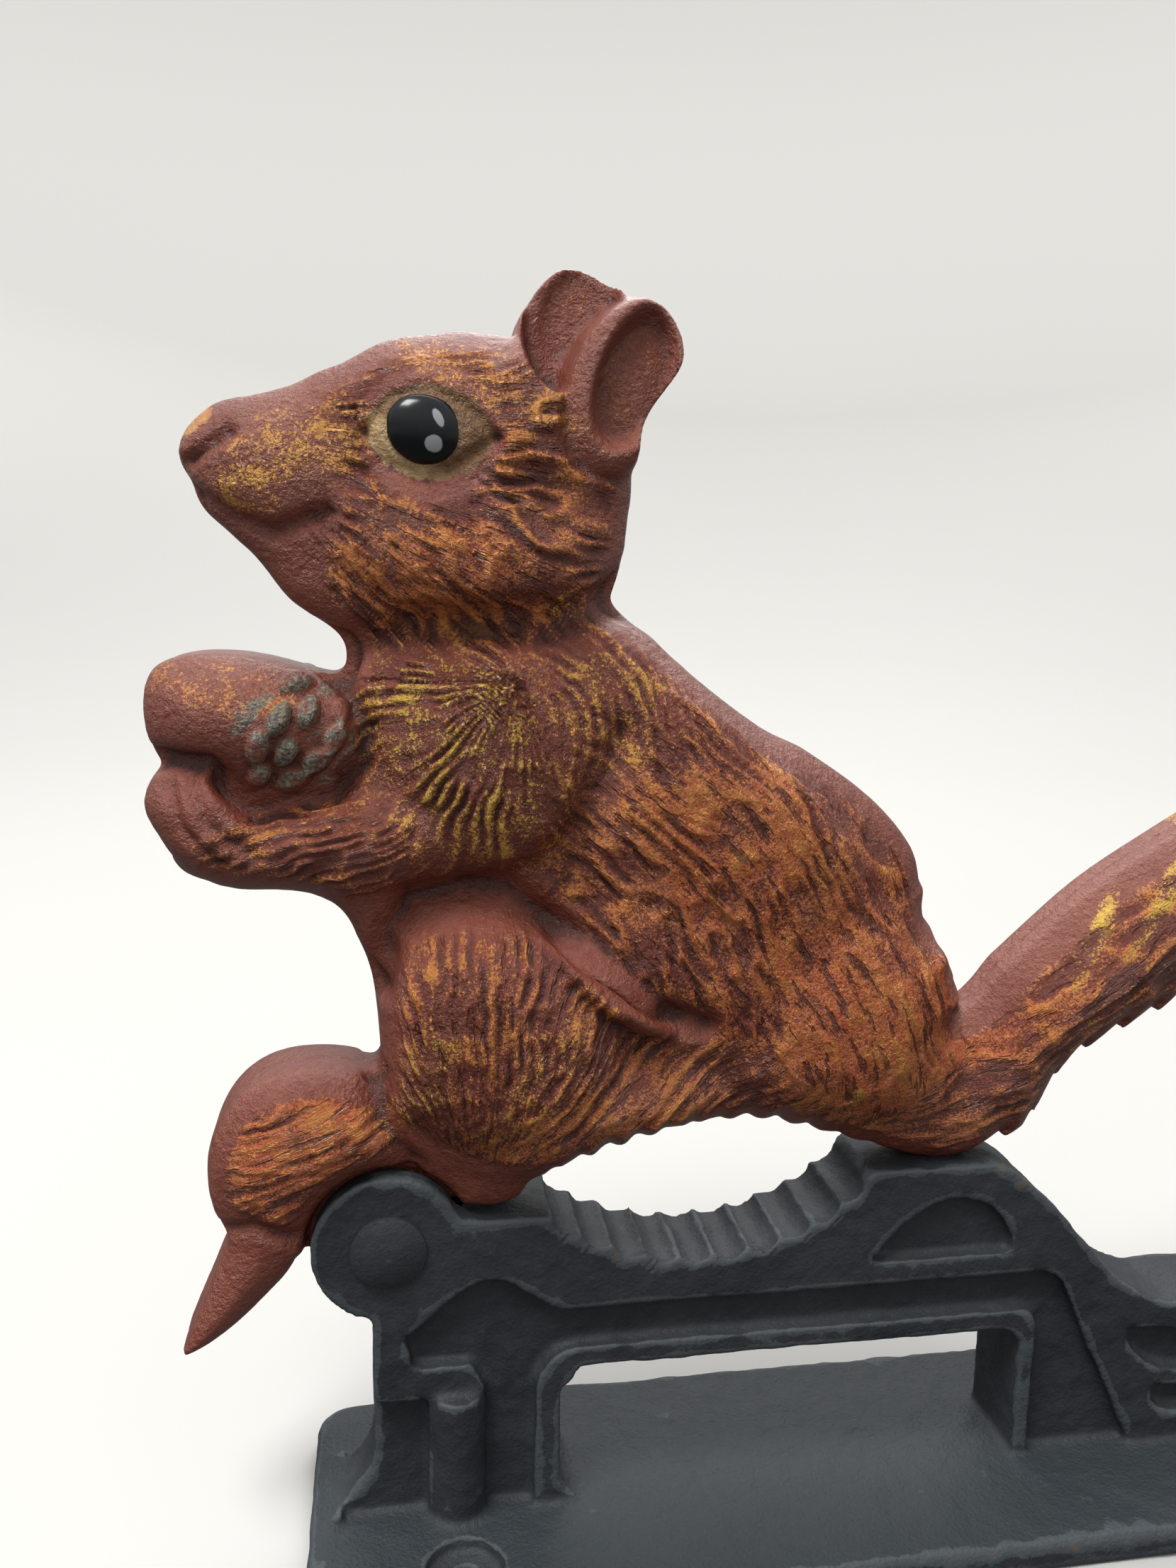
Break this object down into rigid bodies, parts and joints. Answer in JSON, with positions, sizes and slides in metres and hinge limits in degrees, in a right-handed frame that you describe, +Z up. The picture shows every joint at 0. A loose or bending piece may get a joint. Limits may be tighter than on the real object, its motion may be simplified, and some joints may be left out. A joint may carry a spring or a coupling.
{
  "type": "nutcracker",
  "caption": "Cast nutcracker: a squirrel whose belly is the upper toothed jaw and whose tail is the lever, hinged by a pin on a screw-down plate with the lower jaw.",
  "frame": {"origin": "middle of the base plate's underside", "axes": "+X along the jaws towards the squirrel's tail, +Y across the jaws away from the pin's domed head, +Z up"},
  "size_m": [0.194, 0.038, 0.1544],
  "materials": {
    "base_paint": "satin blue-grey black paint over rough cast iron",
    "squirrel_paint": "satin red-brown paint with gold dry brushing on raised fur",
    "pin_paint": "satin black paint"
  },
  "bodies": {
    "base": {"base_casting": "base_paint", "hinge_pin": "pin_paint"},
    "squirrel": {"squirrel_lever": "squirrel_paint"}
  },
  "joints": [
    {"name": "squirrel_hinge", "type": "hinge", "parent": "base", "child": "squirrel", "pos_m": [-0.065, 0.002, 0.04], "axis": [0, -1, 0], "range_deg": [0, 50]}
  ]
}
